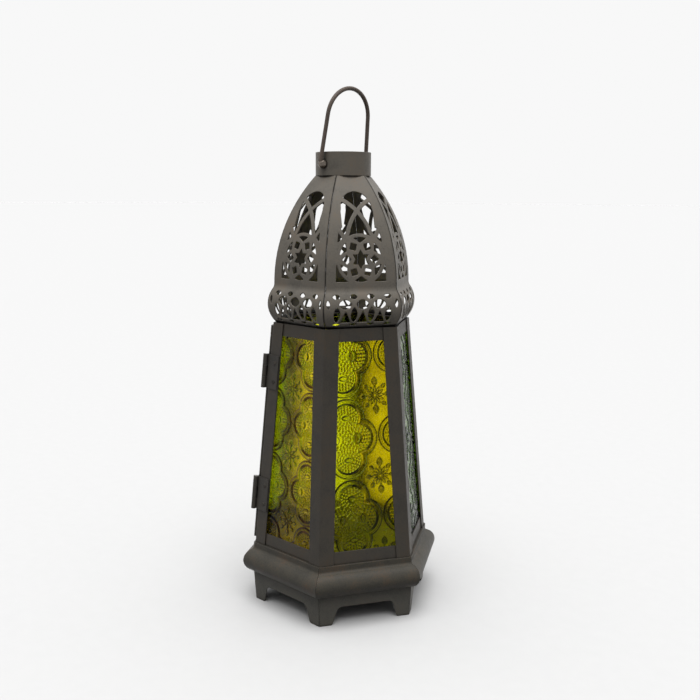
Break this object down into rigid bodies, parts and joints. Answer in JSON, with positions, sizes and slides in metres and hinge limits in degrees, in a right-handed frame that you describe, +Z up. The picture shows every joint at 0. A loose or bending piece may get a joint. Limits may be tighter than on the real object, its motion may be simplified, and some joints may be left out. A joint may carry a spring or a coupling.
{
  "type": "candle lantern",
  "caption": "Hexagonal candle lantern with tapering coloured glass panes, a pierced dome roof, a hinged glazed door, a moulded footed base and a swinging wire handle.",
  "frame": {"origin": "centre of the footprint, on the surface that the feet stand on", "axes": "+Z up along the lantern's axis, -Y out through the front pane, the door on the side next to the front that faces -X"},
  "size_m": [0.1552, 0.1344, 0.3784],
  "materials": {
    "painted_steel": "satin",
    "painted_wire": "satin",
    "hinge_steel": "satin",
    "bare_steel": "brushed",
    "amber_glass": "pressed",
    "yellow_glass": "pressed",
    "green_glass": "pressed",
    "lime_glass": "pressed",
    "honey_glass": "pressed"
  },
  "bodies": {
    "lantern": {"skirt_panel_front": "painted_steel", "base_moulding_front": "painted_steel", "bottom_rail_front": "painted_steel", "top_rail_front": "painted_steel", "dome_petal_front": "painted_steel", "skirt_panel_front_right": "painted_steel", "base_moulding_front_right": "painted_steel", "bottom_rail_front_right": "painted_steel", "top_rail_front_right": "painted_steel", "dome_petal_front_right": "painted_steel", "skirt_panel_back_right": "painted_steel", "base_moulding_back_right": "painted_steel", "bottom_rail_back_right": "painted_steel", "top_rail_back_right": "painted_steel", "dome_petal_back_right": "painted_steel", "skirt_panel_back": "painted_steel", "base_moulding_back": "painted_steel", "bottom_rail_back": "painted_steel", "top_rail_back": "painted_steel", "dome_petal_back": "painted_steel", "skirt_panel_back_left": "painted_steel", "base_moulding_back_left": "painted_steel", "bottom_rail_back_left": "painted_steel", "top_rail_back_left": "painted_steel", "dome_petal_back_left": "painted_steel", "skirt_panel_door_side": "painted_steel", "base_moulding_door_side": "painted_steel", "bottom_rail_door_side": "painted_steel", "top_rail_door_side": "painted_steel", "dome_petal_door_side": "painted_steel", "corner_post_front_right": "painted_steel", "corner_post_right": "painted_steel", "corner_post_back_right": "painted_steel", "corner_post_back_left": "painted_steel", "corner_post_latch": "painted_steel", "corner_post_hinge": "painted_steel", "glass_pane_front": "amber_glass", "glass_pane_front_right": "yellow_glass", "glass_pane_back_right": "green_glass", "glass_pane_back": "honey_glass", "glass_pane_back_left": "lime_glass", "pane_clips": "bare_steel", "floor_plate": "painted_steel", "candle_cup": "painted_steel", "collar": "painted_steel", "hinge_lower_frame_leaf": "hinge_steel", "hinge_lower_pin": "bare_steel", "hinge_upper_frame_leaf": "hinge_steel", "hinge_upper_pin": "bare_steel", "hinge_post_rivets": "hinge_steel", "latch_rivet": "hinge_steel"},
    "door": {"door_frame": "painted_steel", "door_glass": "green_glass", "door_clips": "bare_steel", "hinge_lower_door_leaf": "hinge_steel", "hinge_upper_door_leaf": "hinge_steel", "hinge_door_rivets": "hinge_steel"},
    "handle": {"handle": "painted_wire"},
    "latch": {"latch_button": "hinge_steel"}
  },
  "joints": [
    {"name": "door_hinge", "type": "hinge", "parent": "lantern", "child": "door", "pos_m": [-0.03738, -0.06073, 0.04529], "axis": [0.0463, 0.0802, 0.9957], "range_deg": [0, 230]},
    {"name": "handle_swing", "type": "hinge", "parent": "lantern", "child": "handle", "pos_m": [0, 0, 0.3244], "axis": [0, 1, 0], "range_deg": [-128, 112]},
    {"name": "latch_turn", "type": "hinge", "parent": "lantern", "child": "latch", "pos_m": [-0.06081, -0.00409, 0.12692], "axis": [-0.8632, -0.4984, 0.0803], "range_deg": [-90, 0]}
  ]
}
